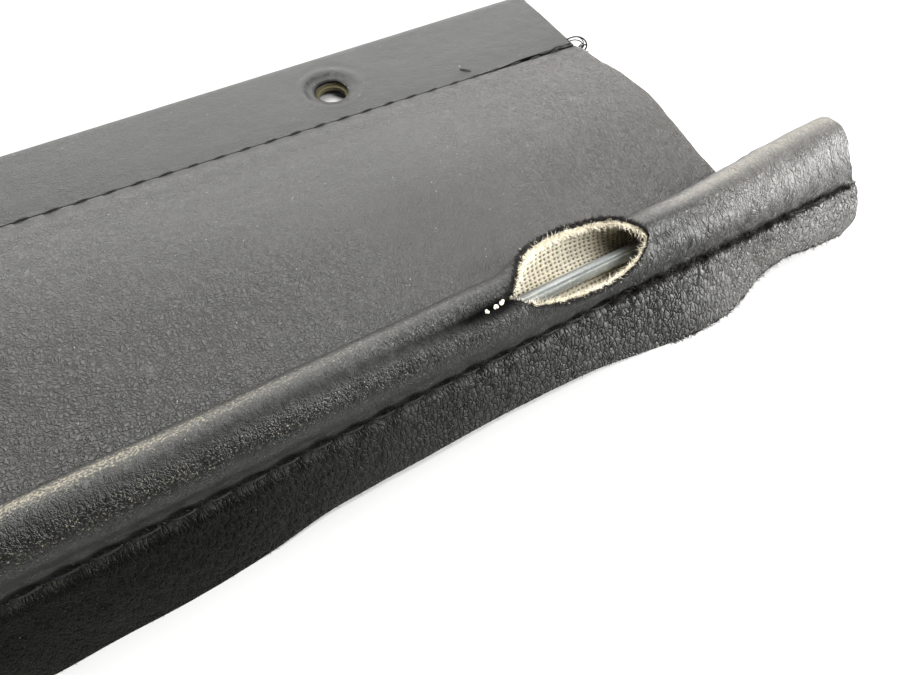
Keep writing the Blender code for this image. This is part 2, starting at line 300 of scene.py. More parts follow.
class Shader:
    """A node material round one Principled shader."""

    def __init__(self, name, **sockets):
        self.material = bpy.data.materials.new(name)
        self.material.use_nodes = True
        self.tree = self.material.node_tree
        self.surface = self.tree.nodes["Principled BSDF"]
        for key, value in sockets.items():
            self.surface.inputs[key.replace("_", " ")].default_value = value

    def node(self, kind, inputs=(), output=0, **settings):
        made = self.tree.nodes.new("ShaderNode" + kind)
        for key, value in settings.items():
            setattr(made, key, value)
        for key, value in dict(inputs).items():
            self.feed(made.inputs[key], value)
        return made.outputs[output]

    def feed(self, socket, value):
        if isinstance(value, bpy.types.NodeSocket):
            self.tree.links.new(value, socket)
        else:
            socket.default_value = value

    def flat(self):
        return self.node("UVMap", uv_map="flat")

    def place(self):
        """Object coordinates in millimetres."""
        return self.scaled(self.node("TexCoord", output="Object"), 1 / MM, 1 / MM, 1 / MM)

    def mask(self, name):
        return self.node("Attribute", output="Fac", attribute_name=name)

    def scaled(self, vector, x, y, z=1.0):
        return self.node("Mapping", {"Vector": vector, "Scale": (x, y, z)})

    def math(self, operation, a, b=0.0, clamp=False):
        return self.node("Math", {0: a, 1: b}, operation=operation, use_clamp=clamp)

    def times(self, a, b, clamp=False):
        return self.math('MULTIPLY', a, b, clamp)

    def plus(self, a, b, clamp=False):
        return self.math('ADD', a, b, clamp)

    def minus(self, a, b):
        return self.math('SUBTRACT', a, b)

    def fade(self, value, start, stop):
        """0 at start, 1 at stop, whichever way round they are."""
        return self.node("MapRange", {"Value": value, "From Min": start, "From Max": stop},
                         interpolation_type='SMOOTHSTEP')

    def noise(self, vector, scale, detail=2.0, roughness=0.5):
        return self.node("TexNoise", {"Vector": vector, "Scale": scale, "Detail": detail,
                                      "Roughness": roughness}, output="Fac")

    def cells(self, vector, scale, feature='F1', randomness=1.0, output="Distance"):
        return self.node("TexVoronoi", {"Vector": vector, "Scale": scale,
                                        "Randomness": randomness}, feature=feature, output=output)

    def furrows(self, vector, scale, width):
        """0 along winding lines, 1 at the given distance from them."""
        away = self.math('ABSOLUTE', self.minus(self.noise(vector, scale, 1.5), 0.5))
        return self.fade(away, 0.0, width)

    def warped(self, vector, scale, amount):
        shift = self.node("TexNoise", {"Vector": vector, "Scale": scale, "Detail": 1.0},
                          output="Color")
        centred = self.node("VectorMath", {0: shift, 1: (0.5, 0.5, 0.5)}, operation='SUBTRACT')
        moved = self.node("VectorMath", {0: centred, "Scale": amount}, operation='SCALE')
        return self.node("VectorMath", {0: vector, 1: moved}, operation='ADD')

    def blend(self, share, a, b):
        """The number a at share 0 and b at share 1."""
        made = self.tree.nodes.new("ShaderNodeMix")
        for key, value in ((0, share), (2, a), (3, b)):
            self.feed(made.inputs[key], value)
        return made.outputs[0]

    def mix(self, share, a, b):
        """The colour a at share 0 and b at share 1."""
        made = self.tree.nodes.new("ShaderNodeMix")
        made.data_type = 'RGBA'
        for key, value in ((0, share), (6, a), (7, b)):
            self.feed(made.inputs[key], (*value, 1.0) if isinstance(value, tuple) else value)
        return made.outputs[2]

    def bump(self, height, depth, below=None):
        """A relief of the given depth in millimetres."""
        inputs = {"Height": height, "Distance": depth * MM, "Strength": 1.0}
        if below is not None:
            inputs["Normal"] = below
        return self.node("Bump", inputs)

    def finish(self, colour=None, roughness=None, normal=None):
        for key, value in (("Base Color", colour), ("Roughness", roughness), ("Normal", normal)):
            if value is not None:
                self.feed(self.surface.inputs[key], value)
        return self.material


def vinyl_material():
    """Worn black vinyl: a broken pebble grain, painted shade in its valleys, dust and cream wear.

    The masks on the mesh say where the grain is strong, drawn into long beads or shaded in its valleys
    (painted shade), and where the vinyl is dusty (on the tube's crest also a painted highlight), worn
    to its fibres, dark (painted shade in gaps, grooves and hole walls; black raw edges; a darker band
    along a dent), dulled and darkened by soiling and painted shade, or polished (shine).
    """
    s = Shader("leathercloth_vinyl", IOR=1.5)
    flat = s.flat()
    grain, wear, dark, drawn = (s.mask(key) for key in ("grain", "wear", "dark", "drawn"))
    gloss_and_light, shine, dust_and_highlight, valley_shade_strength = (s.mask(key) for key in ("gloss_and_light", "shine", "dust_and_highlight", "valley_shade_strength"))
    black = (0.0012, 0.0012, 0.0012)

    # Fine pebbles on the panel, beads across the strip where it is drawn
    warped = s.warped(flat, 0.7, 1.1)
    stretched = s.scaled(warped, 1.50, 0.60)
    squiggle = s.furrows(warped, 1.05, 0.045)
    pulled = s.furrows(stretched, 0.75, 0.055)
    pebble = s.fade(s.cells(warped, 1.40, 'DISTANCE_TO_EDGE'), 0.0, 0.16)
    bead = s.fade(s.cells(stretched, 0.78, 'DISTANCE_TO_EDGE'), 0.0, 0.13)
    bead = s.times(bead, s.fade(pulled, -0.9, 0.8))
    creased = s.times(s.fade(dust_and_highlight, 0.12, 0.40), drawn)
    bead = s.blend(s.times(creased, 0.55), bead, pulled)
    dome = s.blend(drawn, 1.0, s.fade(s.cells(stretched, 0.78), 1.1, 0.0))
    dome = s.blend(s.times(creased, 0.7), dome, 1.0)
    lines = s.blend(drawn, s.times(squiggle, pebble), bead)

    patch = s.noise(flat, 0.045, 3.0)
    lump = s.noise(flat, 0.35, 3.0)
    speck = s.noise(flat, 2.6, 2.0, 0.6)
    fine = s.fade(s.cells(warped, 2.6, 'DISTANCE_TO_EDGE'), 0.0, 0.3)
    strength = s.times(grain, s.fade(lump, 0.05, 0.55), clamp=True)

    height = s.times(s.times(lines, dome), strength)
    relief = s.bump(s.times(height, s.blend(drawn, 0.60, 1.0)), 0.28)
    relief = s.bump(s.plus(fine, s.noise(flat, 3.6, 3.0, 0.65)), 0.026, relief)
    relief = s.bump(lump, 0.16, relief)

    # Painted shade that darkens the grain's valleys
    valley_shade = s.times(s.times(s.fade(lines, 0.60, 0.12), strength), valley_shade_strength)
    worn = s.fade(s.plus(speck, s.times(wear, 0.30)), 0.64, 0.86)
    grit = s.fade(s.cells(flat, 0.42), 0.055, 0.03)
    dusty_and_lit = s.times(dust_and_highlight, s.plus(0.75, s.times(patch, 0.5)))
    colour = s.mix(patch, (0.0020, 0.0024, 0.0020), (0.0048, 0.0052, 0.0040))
    # Dust, and on the tube's crest a painted highlight
    for share, tone in ((dusty_and_lit, (0.130, 0.123, 0.116)),
                        # Painted shade in the grain's valleys
                        (s.times(valley_shade, 0.9), (0.0015, 0.0015, 0.0015)),
                        (s.times(worn, 0.6), (0.36, 0.32, 0.23)),
                        (s.times(grit, 0.6), (0.40, 0.38, 0.32)),
                        # Left lips darkened: painted shade, and soiling
                        (s.times(s.minus(1.0, gloss_and_light), 0.75), (0.0008, 0.0010, 0.0006)),
                        # Painted shade in seam gaps, grooves and hole walls and under the tube; also
                        # black raw edges and a darker band along a dent
                        (dark, black)):
        colour = s.mix(share, colour, tone)

    rough = s.plus(s.times(patch, 0.12), 0.33)
    for mask, amount in ((shine, -0.12), (speck, 0.10), (valley_shade, 0.25), (dark, 0.45)):
        rough = s.plus(rough, s.times(mask, amount))
    rough = s.plus(rough, s.times(worn, 0.4), clamp=True)

    # Soiled, shaded left lips and the grain's valleys reflect less: painted shade, and soiling on the
    # lips
    tint = s.mix(gloss_and_light, (0.012, 0.014, 0.008), (1.0, 1.0, 0.97))
    tint = s.mix(s.times(valley_shade, 0.90), tint, (0.02, 0.02, 0.02))
    # Less reflection where dark: painted shade, and black raw edges
    s.feed(s.surface.inputs["Specular Tint"], s.mix(dark, tint, (0.08, 0.08, 0.08)))
    return s.finish(colour, rough, relief)


def knit_material():
    """Cream knitted backing: ribs along the strip with a small hole between each two loops."""
    s = Shader("knit_backing", Specular_IOR_Level=0.2)
    flat = s.warped(s.flat(), 0.5, 0.22)
    loops = s.cells(s.scaled(flat, 1.02, 1.32), 1.0, 'F1', 0.16)
    hole = s.fade(loops, 0.33, 0.12)
    fuzz = s.noise(flat, 5.5, 4.0, 0.7)
    stain = s.noise(flat, 0.12, 3.0)
    knit_shade = s.mask("knit_shade")
    colour = s.mix(fuzz, (0.84, 0.77, 0.58), (0.97, 0.93, 0.80))
    colour = s.mix(s.times(s.fade(stain, 0.45, 0.7), 0.25), colour, (0.50, 0.40, 0.24))
    # Painted shade on the knit inside holes and inside the tube
    colour = s.mix(s.times(knit_shade, 0.92), colour, (0.07, 0.058, 0.028))
    colour = s.mix(s.times(hole, 0.85), colour, (0.13, 0.09, 0.05))
    relief = s.bump(s.minus(1.0, hole), 0.30)
    relief = s.bump(s.fade(loops, 0.30, 0.55), 0.12, relief)
    relief = s.bump(fuzz, 0.16, relief)
    return s.finish(colour, 0.95, relief)


def steel_material():
    """Drawn steel: long scratches along the rod, dull and a little dirty."""
    s = Shader("drawn_steel", Metallic=0.55)
    place = s.place()
    drawn = s.noise(s.scaled(place, 0.10, 2.6, 2.6), 1.0, 5.0, 0.65)
    cloudy = s.noise(place, 0.25, 3.0)
    chalky = s.noise(place, 2.2, 4.0, 0.7)
    colour = s.mix(s.fade(drawn, 0.30, 0.70), (0.15, 0.165, 0.17), (0.33, 0.345, 0.335))
    colour = s.mix(s.times(s.fade(cloudy, 0.5, 0.75), 0.4), colour, (0.60, 0.56, 0.46))
    colour = s.mix(s.times(s.fade(chalky, 0.52, 0.70), 0.5), colour, (0.55, 0.54, 0.49))
    rough = s.plus(s.times(drawn, 0.25), 0.48)
    return s.finish(colour, rough, s.bump(drawn, 0.12))


def board_material():
    """Brown fibreboard."""
    s = Shader("fibreboard", Specular_IOR_Level=0.3)
    place = s.place()
    fibre = s.noise(s.scaled(place, 1.0, 1.0, 3.0), 1.6, 4.0, 0.7)
    colour = s.mix(fibre, (0.025, 0.022, 0.010), (0.115, 0.10, 0.050))
    return s.finish(colour, 0.92, s.bump(fibre, 0.15))


def thread_material():
    """Black sewing thread with a little grey fluff."""
    s = Shader("sewing_thread", Specular_IOR_Level=0.35)
    place = s.place()
    fluff = s.noise(place, 6.0, 3.0, 0.7)
    colour = s.mix(s.fade(fluff, 0.5, 0.8), (0.007, 0.007, 0.008), (0.05, 0.048, 0.045))
    return s.finish(colour, 0.75, s.bump(fluff, 0.05))


def fibre_material(name, dark, light):
    """Loose fibres: dull, and mottled between two tones."""
    s = Shader(name, Specular_IOR_Level=0.15)
    place = s.place()
    tone = s.noise(place, 1.2, 2.0)
    return s.finish(s.mix(tone, dark, light), 0.95, s.bump(s.noise(place, 8.0), 0.02))


def floor_material():
    """Matt grey, the same all over but for a faint unevenness."""
    s = Shader("white_sweep", Specular_IOR_Level=0.1)
    tone = s.noise(s.place(), 3.0 * MM, 2.0)
    return s.finish(s.mix(tone, (0.43, 0.43, 0.425), (0.445, 0.445, 0.44)), 0.9)


vinyl = vinyl_material()
knit = knit_material()
steel = steel_material()
board = board_material()
thread = thread_material()
cream_fibre = fibre_material("cream_fibre", (0.70, 0.63, 0.46), (0.94, 0.90, 0.80))
black_fibre = fibre_material("black_fibre", (0.010, 0.010, 0.010), (0.06, 0.055, 0.05))


PLAIN_MASKS = {"grain": 0.0, "wear": 0.0, "dark": 0.0, "drawn": 0.0, "gloss_and_light": 1.0, "shine": 0.0,
               "dust_and_highlight": 0.0, "valley_shade_strength": 0.0, "knit_shade": 0.0}


def leathercloth(face_name, backing_name, points, quads, flat, masks):
    """The two layers of one sheet, from its outer surface, and the surface's normals."""
    normals = vertex_normals(points, quads)
    masks = {key: np.broadcast_to(value, len(points))
             for key, value in {**PLAIN_MASKS, **masks}.items()}
    face = shell(face_name, points, normals, quads, 0.0, VINYL, vinyl, flat, masks)
    backing = shell(backing_name, points, normals, quads, VINYL + FACE_TO_BACKING, PLY, knit,
                    flat, masks)
    return face, backing, normals


# ---------------------------------------------------------------- main panel

PANEL_FRONT = -38.3
# Length of the panel that is tucked down into the upper seam
PANEL_TUCK = 2.6


def panel_outline():
    """The panel's outer surface from its front edge, over the crown, and down into the seam."""
    seam = hem_point(hem_width_at(PANEL_END), 0.0)
    knots = ((PANEL_FRONT, 10.95), (-36.5, 11.1), (-34.6, 11.25), (-30.0, 11.0), (-25.0, 10.8),
             (-20.0, 10.95), (-15.0, 11.3), (-9.0, 12.05), (-5.0, 12.4), (-0.8, 12.2), (3.2, 11.7),
             (8.1, 10.7), (13.0, 9.5), (17.8, 8.0), seam + (-2.6, 0.85), seam + (-1.2, 0.38),
             seam + (-0.06, 0.0), seam + (-0.03, -0.5), seam + (-0.03, -2.2))
    return Outline(knots, softness=0.10)


def make_panel():
    """The crowned panel; returns its surface, normals and number of columns for the fibres."""
    outline = panel_outline()
    right_seam = hem_point(hem_width_at(PANEL_END), 0.0)
    coarse = np.arange(0, outline.length - 6.0, 0.85)
    columns = np.concatenate((coarse, np.linspace(outline.length - 6.0, outline.length, 20)))
    rows = np.concatenate((np.linspace(-PANEL_END, 30, 170), np.linspace(30.8, PANEL_END, 120)))
    x, s, quads = grid(rows, columns)

    # The hem narrows towards the left, so the panel widens to meet it
    place = outline.at(s)
    seam = hem_point(hem_width_at(x), 0.0)
    share = np.clip((place[:, 0] - PANEL_FRONT) / (right_seam[0] - PANEL_FRONT), 0, 1)[:, None]
    place = place + (seam - right_seam) * share
    to_seam = outline.length - PANEL_TUCK - s

    # Raw right edge: a little uneven, fraying outwards
    edge = step(PANEL_END - 6, PANEL_END, x)
    x_cut = x + edge * (0.28 * noise(s / 9, 0.3, 11) + 0.08 * noise(s / 1.3, 7.7, 12))

    lift = 0.30 * noise(x / 34, s / 26, 21) + 0.13 * noise(x / 11, s / 9, 22)
    # One small dip to each stitch, and a soft roll along the seam
    lift += 0.11 * bell(to_seam, 2.6, 2.0) * np.cos(2 * pi * x / STITCH_PITCH)
    lift += 0.28 * bell(to_seam, 3.0, 2.2)
    lift += 0.40 * bell(to_seam, 5.0, 3.0) * step(90, 20, x)
    lift *= step(0, 4, s) * step(-0.8, 1.5, to_seam)
    # Slanting pull lines from the seam and from the worn right end
    pull = noise(x / 3.2 + to_seam / 6, to_seam / 14, 23)
    lift += 0.06 * pull * bell(to_seam, 3.0, 5.0) * step(-0.5, 1.5, to_seam)
    fold = np.abs(noise((x + 0.8 * s) / 9, (x - 0.5 * s) / 30, 24))
    lift -= 0.13 * bell(fold, 0, 0.09) * step(60, 110, x) * step(6, 14, s) * step(1, 6, to_seam)

    points = np.column_stack((x_cut, place))
    points = points + vertex_normals(points, quads) * lift[:, None]

    masks = {
        "grain": 0.22 + 0.95 * step(52, -56, x + 1.1 * (s - 34)) + 0.75 * step(62, 100, x),
        "wear": np.clip(0.5 * step(PANEL_END - 1.4, PANEL_END, x_cut)
                        + 0.10 * step(0.2, 0.8, noise(x / 26, s / 18, 25)), 0, 1),
        "drawn": 0.6 * step(60, 100, x),
        # Painted shade along the front edge under the tube, and in the seam where it has pulled open at
        # the right
        "dark": np.clip(0.55 * bell(s, 0.5, 1.6)
                        + 0.95 * step(0.2, -0.3, to_seam) * step(84, 98, x), 0, 1),
        "dust_and_highlight": 0.145 + 0.10 * step(30, -60, x) + 0.26 * step(55, 100, x),
        # Strength of the painted shade in the grain's valleys
        "valley_shade_strength": 0.10 + 0.28 * step(60, 100, x),
    }
    face, backing, normals = leathercloth("panel_face_sheet", "panel_backing_sheet", points, quads,
                                          np.column_stack((x, s)), masks)
    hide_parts("main_panel_face")
    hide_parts("main_panel_backing")
    for piece in (face, backing):
        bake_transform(piece)
    return points, normals, len(columns)


# ---------------------------------------------------------------- hem

# Lengths q across the hem strip, from where its flat top meets the back fold. Past HEM_FIXED the
# strip widens or narrows to meet the slanting seam; at HEM_GROOVE it turns down into the groove.
HEM_FIXED = 14.4
HEM_GROOVE = 23.2
GROOVE_RUN = 2.2
HEM_FOLD = pi * HEM_THICKNESS / 2
HOLE_ALONG_STRIP = HOLE_FROM_BACK - HEM_THICKNESS / 2
HOLE_RADIUS = 3.7
# Spacing of the grid, and half the square of it that a hole replaces
GRID = 0.8
PATCH_HALF = 4.8


def hem_rows(end, counts):
    """Places along the hem: evenly spaced at each hole, with these counts before, between, after."""
    side = np.arange(-6, 7) * GRID
    left, right = -HOLE_X + side, HOLE_X + side
    return np.concatenate((np.linspace(-end, left[0], counts[0])[:-1], left,
                           np.linspace(left[-1], right[0], counts[1])[1:-1], right,
                           np.linspace(right[-1], end, counts[2])[1:]))


def hem_columns():
    """Lengths across the hem strip, from the groove over the back fold to the raw edge below."""
    groove = HEM_GROOVE + np.array((GROOVE_RUN, 1.8, 1.4, 1.0, 0.7, 0.45, 0.2))
    top = np.concatenate((groove, np.linspace(HEM_GROOVE, HEM_FIXED, 12)[:-1],
                          np.arange(18, -1, -1) * GRID))
    fold = -np.arange(1, 9) * HEM_FOLD / 8
    below = -HEM_FOLD - np.concatenate((np.arange(1, 19) * GRID, HEM_FIXED + np.arange(1, 9) * GRID))
    return np.concatenate((top, fold, below))


def hem_surface(x, q):
    """(inward, depth) of the hem's outer surface at the length q across the strip."""
    half = HEM_THICKNESS / 2
    width = hem_width_at(x)
    front = width - half
    top_q = np.where(q > HEM_FIXED,
                     HEM_FIXED + (q - HEM_FIXED) * (front - HEM_FIXED) / (HEM_GROOVE - HEM_FIXED), q)
    into = np.clip((q - HEM_GROOVE) / GROOVE_RUN, 0, 1)
    # Near its right end the seam has pulled open
    gap = 0.02 + 0.20 * step(88, 98, x) + 0.65 * step(99, 106, x) * step(118, 113, x)
    inward = np.where(q > HEM_GROOVE, width - gap - 0.12 * (1 - into) ** 4,
                      np.minimum(half + top_q, width - gap - 0.12))
    depth = np.where(q > HEM_GROOVE, 2.1 * into ** 1.3, 0.0)
    turn = np.clip(-q / HEM_FOLD, 0, 1) * pi
    inward = np.where(q < 0, half - half * np.sin(turn), inward)
    depth = np.where(q < 0, half - half * np.cos(turn), depth)
    below = q < -HEM_FOLD
    run = -HEM_FOLD - q
    limit = width - 2.2 - half
    run = np.where(run > HEM_FIXED,
                   HEM_FIXED + (run - HEM_FIXED) * np.maximum(limit - HEM_FIXED, 0.4) / (8 * GRID), run)
    inward = np.where(below, half + run, inward)
    depth = np.where(below, HEM_THICKNESS, depth)
    return inward, depth


def punch(x, q, quads, centre_x, centre_q, radius, seed):
    """Replaces a square of the grid with a ring of quads round a hole."""
    mid_x, mid_q = x[quads].mean(axis=1), q[quads].mean(axis=1)
    inside = (np.abs(mid_x - centre_x) < PATCH_HALF) & (np.abs(mid_q - centre_q) < PATCH_HALF)
    kept = quads[~inside]
    loop = dict(open_edges(quads[inside]).tolist())
    start = next(iter(loop))
    ring = [start]
    while loop[ring[-1]] != start:
        ring.append(loop[ring[-1]])
    ring = np.array(ring)
    out_x, out_q = x[ring] - centre_x, q[ring] - centre_q
    reach = np.hypot(out_x, out_q)
    angle = np.arctan2(out_q, out_x)
    edge = radius * (1 + 0.035 * noise(np.cos(angle) * 2.2, np.sin(angle) * 2.2, seed)
                     + 0.02 * noise(np.cos(angle) * 7, np.sin(angle) * 7, seed + 1))
    levels = (0.72, 0.46, 0.24, 0.08, 0.0)
    previous, faces = ring, []
    for level in levels:
        r = edge + (reach - edge) * level
        fresh = len(x) + np.arange(len(ring))
        x = np.concatenate((x, centre_x + r * np.cos(angle)))
        q = np.concatenate((q, centre_q + r * np.sin(angle)))
        ahead, fresh_ahead = np.roll(previous, -1), np.roll(fresh, -1)
        faces.append(np.stack([previous, ahead, fresh_ahead, fresh], axis=1))
        previous = fresh
    return x, q, np.concatenate([kept] + faces)


def make_hem():
    """The hem strip, from the upper seam round the board, with both fastener holes."""
    columns = hem_columns()
    rows = hem_rows(PANEL_END, (62, 132, 66))
    x, q, quads = grid(rows, columns)
    seed = 40
    for hole_x in (HOLE_X, -HOLE_X):
        for hole_q in (HOLE_ALONG_STRIP, -HEM_FOLD - HOLE_ALONG_STRIP):
            x, q, quads = punch(x, q, quads, hole_x, hole_q, HOLE_RADIUS, seed)
            seed += 2

    inward, depth = hem_surface(x, q)
    radius = np.minimum(np.hypot(x - HOLE_X, inward - HOLE_FROM_BACK),
                        np.hypot(x + HOLE_X, inward - HOLE_FROM_BACK))
    top = depth < 0.5
    # The fastener's flange has pressed a dish round each hole
    around = np.arctan2(inward - HOLE_FROM_BACK, np.abs(x) - HOLE_X)
    ring = 6.2 + 0.25 * np.sin(around * 2 + 0.6)
    dish = 0.42 * step(ring + 0.2, ring - 1.5, radius) + 0.5 * step(5.2, 3.4, radius)
    dish -= 0.16 * bell(radius, ring + 0.5, 0.6)
    dish += 0.12 * noise(x / 1.5, inward / 1.5, 56) * step(5.5, 4.0, radius)
    sag = 0.16 * noise(x / 28, inward / 16, 51) + 0.07 * noise(x / 8, inward / 7, 52)
    # A faint crescent beyond the ring
    upper_left = step(-2, 3, HOLE_FROM_BACK - inward - 0.4 * (x - HOLE_X))
    crescent = 0.15 * bell(radius, 8.2, 0.45) * upper_left
    flatness = step(0.4, 3.0, hem_width_at(x) - inward)
    depth = depth + np.where(top, dish + sag * flatness + crescent, 0.0)
    depth = depth - np.where(depth > 3.5, 0.4 * step(6.0, 4.2, radius) + 0.1 * (sag > 0), 0.0)
    place = hem_point(inward, depth)

    edge = step(PANEL_END - 5, PANEL_END, np.abs(x)) * np.sign(x)
    x_cut = x + edge * (0.25 * noise(q / 9, 1.3, 53) + 0.06 * noise(q / 1.1, 2.3, 54))
    points = np.column_stack((x_cut, place))

    upper = step(0.3, -0.8, np.sin(around + 0.5))
    masks = {
        "grain": 0.10 + 0.30 * step(60, -110, x),
        "wear": np.clip(0.35 * bell(q, -1.2, 1.6) + 0.5 * bell(radius, 3.8, 0.4) * (1 - upper)
                        + 0.35 * step(PANEL_END - 1.2, PANEL_END, np.abs(x)), 0, 1),
        # Painted shade on the hole walls and along the upper side of each ring, and in the groove where
        # the seam has pulled open at the right
        "dark": np.clip(0.85 * step(4.5, 3.8, radius) * (0.35 + 0.65 * upper)
                        + 0.45 * bell(radius, ring - 0.6, 0.35) * upper
                        + 0.95 * (q > HEM_GROOVE + 0.1) * step(84, 98, x), 0, 1),
        "dust_and_highlight": 0.05,
        # Strength of the painted shade in the grain's valleys
        "valley_shade_strength": 0.2,
        # Painted shade on the knit round each hole, heavier on its upper side
        "knit_shade": step(5.5, 3.8, radius) * (0.70 + 0.30 * upper),
    }
    face, backing, _ = leathercloth("hem_face_sheet", "hem_backing_sheet", points, quads,
                                    np.column_stack((x, q)), masks)
    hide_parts("hem_strip_face")
    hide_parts("hem_strip_backing")
    for piece in (face, backing):
        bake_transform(piece)


def make_board():
    """The board in the hem, seen in the walls of the fastener holes."""
    columns = np.concatenate((np.arange(19) * GRID, HEM_FIXED + np.linspace(0.7, 4.0, 5)))[::-1]
    rows = hem_rows(PANEL_END - 0.8, (30, 60, 30))
    x, q, quads = grid(rows, columns)
    for hole_x, seed in ((HOLE_X, 60), (-HOLE_X, 62)):
        x, q, quads = punch(x, q, quads, hole_x, HOLE_ALONG_STRIP, 3.0, seed)
    limit = hem_width_at(x) - 5.0
    inward = np.minimum(2 + q, np.where(q > HEM_FIXED, HEM_FIXED + 2 + (q - HEM_FIXED)
                                        * np.maximum(limit - HEM_FIXED - 2, 0.3) / 4.0, 99))
    inward = np.minimum(inward, hem_width_at(x) - 2.5 - 0.02 * (HEM_FIXED + 4.0 - q))
    radius = np.hypot(np.abs(x) - HOLE_X, inward - HOLE_FROM_BACK)
    depth = 1.55 + 0.45 * step(6.3, 4.2, radius)
    place = hem_point(inward, depth)
    points = np.column_stack((x, place))
    made = shell("hem_board", points, vertex_normals(points, quads), quads, 0.0, 0.8, board,
                 np.column_stack((x, q)), {})
    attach(made, "hem")
    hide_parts("hem_stiffener")


def make_nick():
    """A short cut in the hem's face: a black spindle as painted shade in the cut, and a cream one
    beside it as a painted highlight.
    """
    t = np.linspace(-1, 1, 9)[:, None]
    # The black spindle is painted shade in the cut; the cream one is a painted highlight
    for name, x, inward, half, radius, material in (
            ("hem_nick_shade", 91.4, 21.3, (1.15, 1.0), 0.42, black_fibre),
            ("hem_nick_highlight", 91.0, 19.3, (0.40, 0.20), 0.16, cream_fibre)):
        y, z = hem_point(inward, 0.06 if radius > 0.25 else 0.12)
        path = np.array((x, y, z)) + t * (half[0], -half[1], half[1] * SEAM_SKEW)
        made = sweep(name, [path], [radius * np.sqrt(1.02 - t[:, 0] ** 2)], material, sides=8)
        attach(made, "hem")


# ---------------------------------------------------------------- welt strip

def tube_outline():
    """The welt strip's outer surface from the lower seam, round the rod, to the back lip."""
    spread = np.degrees(acos(TUBE_RADIUS / NOSE_REACH))
    circle = [on_tube(angle) for angle in np.arange(NOSE_ANGLE - spread, -96, -3)]
    corners = [LOWER_SEAM, flange_point(-0.9, 0.15), *circle, np.array((-37.4, 11.62)),
               np.array((-38.45, 11.1)), flange_point(0.8, STACK)]
    return Outline(corners, softness=0.55)


tube = tube_outline()


def tube_length_at(angle):
    return tube.nearest(on_tube(angle))


def tear_lips(x):
    """Lengths on the tube's outline of the tear's front and back lips."""
    jag = 1.2 * noise(x / 1.1, 0.0, 71) + 0.7 * noise(x / 0.45, 0.0, 72)
    mid_length = tube_length_at(103.0)
    front = np.array([tube_length_at(a) for a in through(TEAR_FRONT, x) + jag])
    back = np.array([tube_length_at(a) for a in through(TEAR_BACK, x) - jag])
    closed = (x <= TEAR_START) | (x >= TEAR_END)
    # Away from the tear the split follows one line, eased to the height of each tip
    left_tip = tube_length_at(101.0)
    right_tip = tube_length_at(107.0)
    line = np.where(x < (TEAR_START + TEAR_END) / 2, left_tip + (mid_length - left_tip)
                    * step(TEAR_START, TEAR_START - 25, x),
                    right_tip + (mid_length - right_tip) * step(TEAR_END, TEAR_END + 20, x))
    front = np.where(closed, line, np.minimum(front, back - 0.05))
    back = np.where(closed, line, back)
    return front, back, closed


def lip_curve(t, foot, top, bulge):
    """(y, z) on a lip of the flange: t is 0 at its foot and 1 at the seam."""
    t = t[:, None]
    run = top - foot
    out = np.stack([-run[:, 1], run[:, 0]], axis=1)
    out /= np.linalg.norm(out, axis=1)[:, None]
    return foot + run * t + out * (bulge[:, None] * 4 * t * (1 - t))


def bend_with_flange(piece):
    """Bakes a piece's placement into its mesh; the piece does not bend at the lower seam."""
    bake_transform(piece)


# Lengths of the strip's lips below the seam, which place the wear and the dimples on them
FRONT_LIP = 14.6
BACK_LIP = 12.0


def welt_grid():
    """The strip's grid, slit along the tear.

    The part is 0 on the front lip, 1 on the tube and 2 on the back lip. The share runs from 0 to 1
    along a part, starting afresh at the slit, and the length is measured on the tube's outline.
    A front and a back column meet in the slit; away from the tear they share their points.
    """
    rows = np.concatenate((np.linspace(-WELT_END, 20, 190), np.linspace(20.65, TEAR_START, 60),
                           np.linspace(TEAR_START, TEAR_END, 74)[1:],
                           np.linspace(TEAR_END, WELT_END, 92)[1:]))
    front_s, back_s, closed = tear_lips(rows)
    lip_steps = np.linspace(0, 1, 22)[:-1]
    tube_front = np.concatenate((np.linspace(0, 0.22, 9)[:-1], np.linspace(0.22, 1, 15)))
    tube_back = np.concatenate((np.linspace(0, 0.2, 8)[:-1], np.linspace(0.2, 1, 24)))
    back_steps = np.linspace(0, 1, 15)[1:]

    front_part = np.concatenate((np.zeros(len(lip_steps)), np.ones(len(tube_front))))
    front_share = np.concatenate((lip_steps, tube_front))
    back_part = np.concatenate((np.ones(len(tube_back)), np.full(len(back_steps), 2.0)))
    back_share = np.concatenate((tube_back, back_steps))
    front_columns, back_columns = len(front_share), len(back_share)

    x_front, x_back = np.repeat(rows, front_columns), np.repeat(rows, back_columns)
    part = np.concatenate((np.tile(front_part, len(rows)), np.tile(back_part, len(rows))))
    share = np.concatenate((np.tile(front_share, len(rows)), np.tile(back_share, len(rows))))
    x = np.concatenate((x_front, x_back))
    lip_front, lip_back = (np.concatenate((np.repeat(lip, front_columns),
                                           np.repeat(lip, back_columns)))
                           for lip in (front_s, back_s))
    in_front = np.arange(len(x)) < len(x_front)
    length = np.where(in_front, share * lip_front, lip_back + share * (tube.length - lip_back))

    split = len(x_front)
    quads = np.concatenate((grid_quads(len(rows), front_columns),
                            grid_quads(len(rows), back_columns) + split))
    merge = np.arange(len(x))
    for i in np.flatnonzero(closed | (np.arange(len(rows)) == len(rows) - 1)):
        merge[split + i * back_columns] = i * front_columns + front_columns - 1
    quads = merge[quads]
    used, quads_flat = np.unique(quads, return_inverse=True)
    fields = (x, part, share, length, lip_front, lip_back, in_front)
    return quads_flat.reshape(-1, 4), [field[used] for field in fields]


